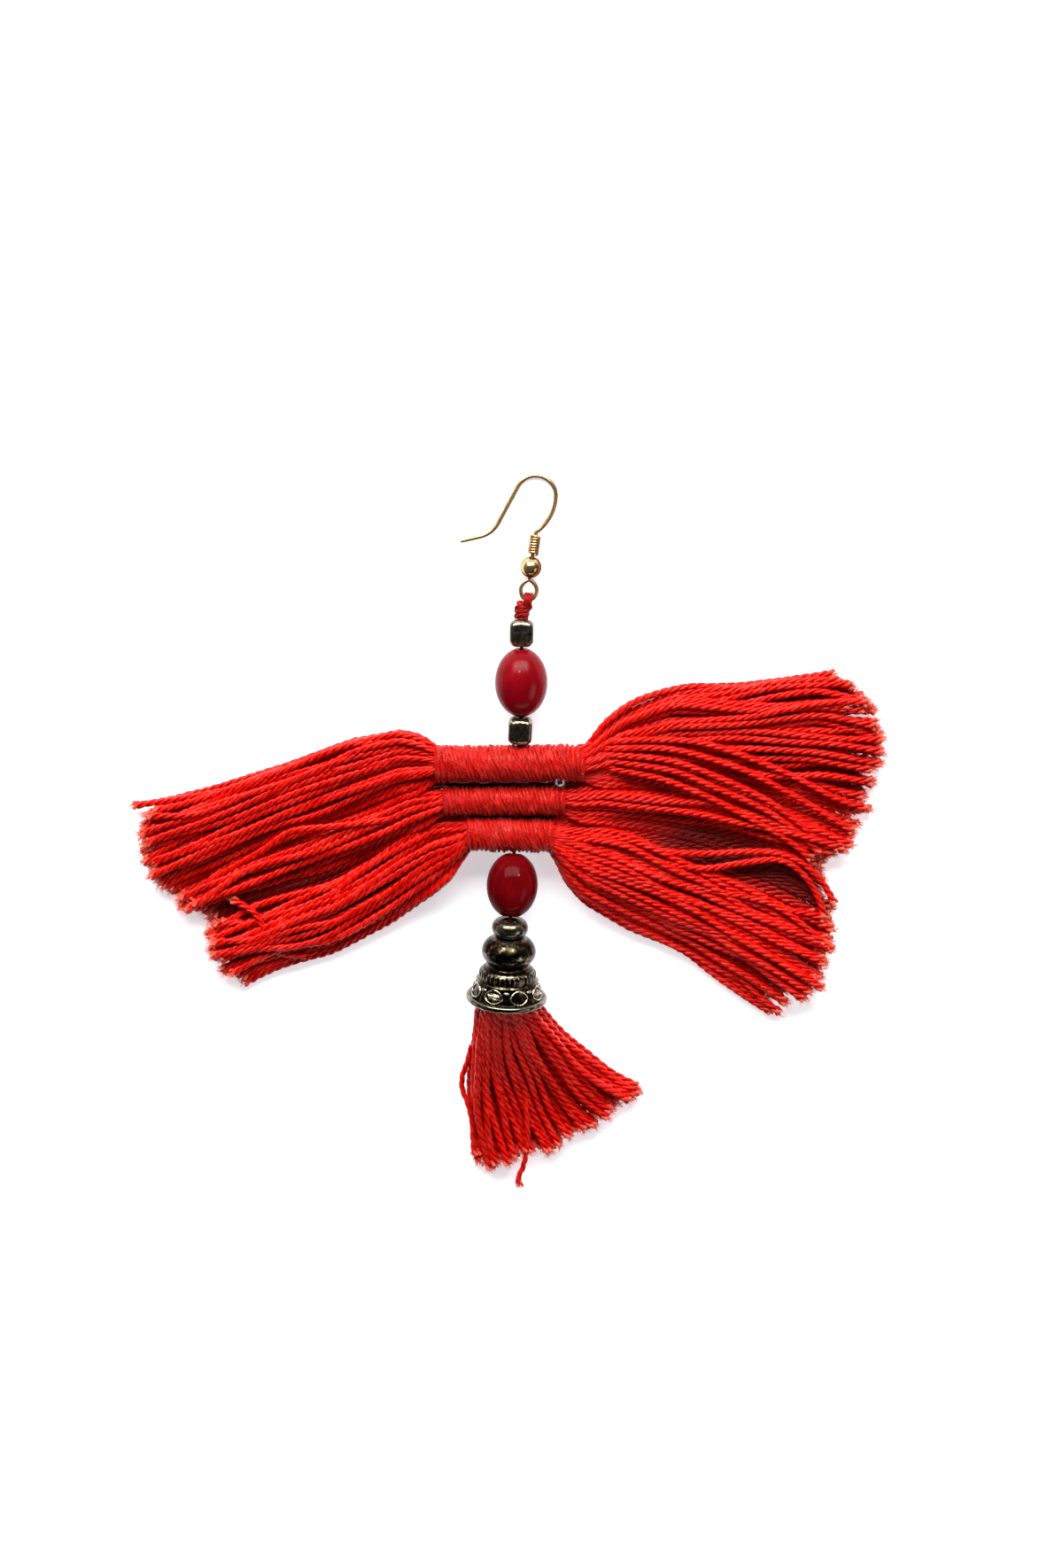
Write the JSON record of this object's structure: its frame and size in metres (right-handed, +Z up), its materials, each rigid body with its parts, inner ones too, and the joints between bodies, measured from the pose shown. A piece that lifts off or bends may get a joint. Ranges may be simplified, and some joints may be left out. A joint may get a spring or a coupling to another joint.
{
  "type": "tassel earring",
  "caption": "Tassel earring lying flat: wire ear hook, drilled metal and oval beads, wound thread bundles fanning to both sides, and a capped small tassel.",
  "frame": {"origin": "centre of the bounding box's underside, on the surface that the earring lies on", "axes": "+Z up from the surface, +Y along the thread towards the ear hook, +X to the side where the small tassel sweeps"},
  "size_m": [0.1121, 0.1088, 0.0122],
  "materials": {
    "gold_wire": "polished gold-tone plating",
    "red_thread": "plied cotton floss with a soft sheen",
    "wound_thread": "fine cotton thread wound in close turns",
    "dark_metal": "smooth gunmetal tone, edges worn paler",
    "antique_metal": "antiqued relief, dark in the hollows",
    "ruby_bead": "deep red translucent, glossy"
  },
  "bodies": {
    "root": {"ear_hook": "gold_wire", "hook_coil": "gold_wire", "hook_ball": "gold_wire", "bead_thread": "red_thread", "cube_bead_upper": "dark_metal", "oval_bead_upper": "ruby_bead", "cube_bead_lower": "dark_metal", "wrap_top": "wound_thread", "wrap_middle": "wound_thread", "wrap_bottom": "wound_thread", "hank_top": "red_thread", "hank_middle": "red_thread", "hank_bottom": "red_thread", "oval_bead_lower": "ruby_bead", "spacer": "dark_metal", "bead_cap": "antique_metal", "small_tassel": "red_thread"}
  },
  "joints": []
}
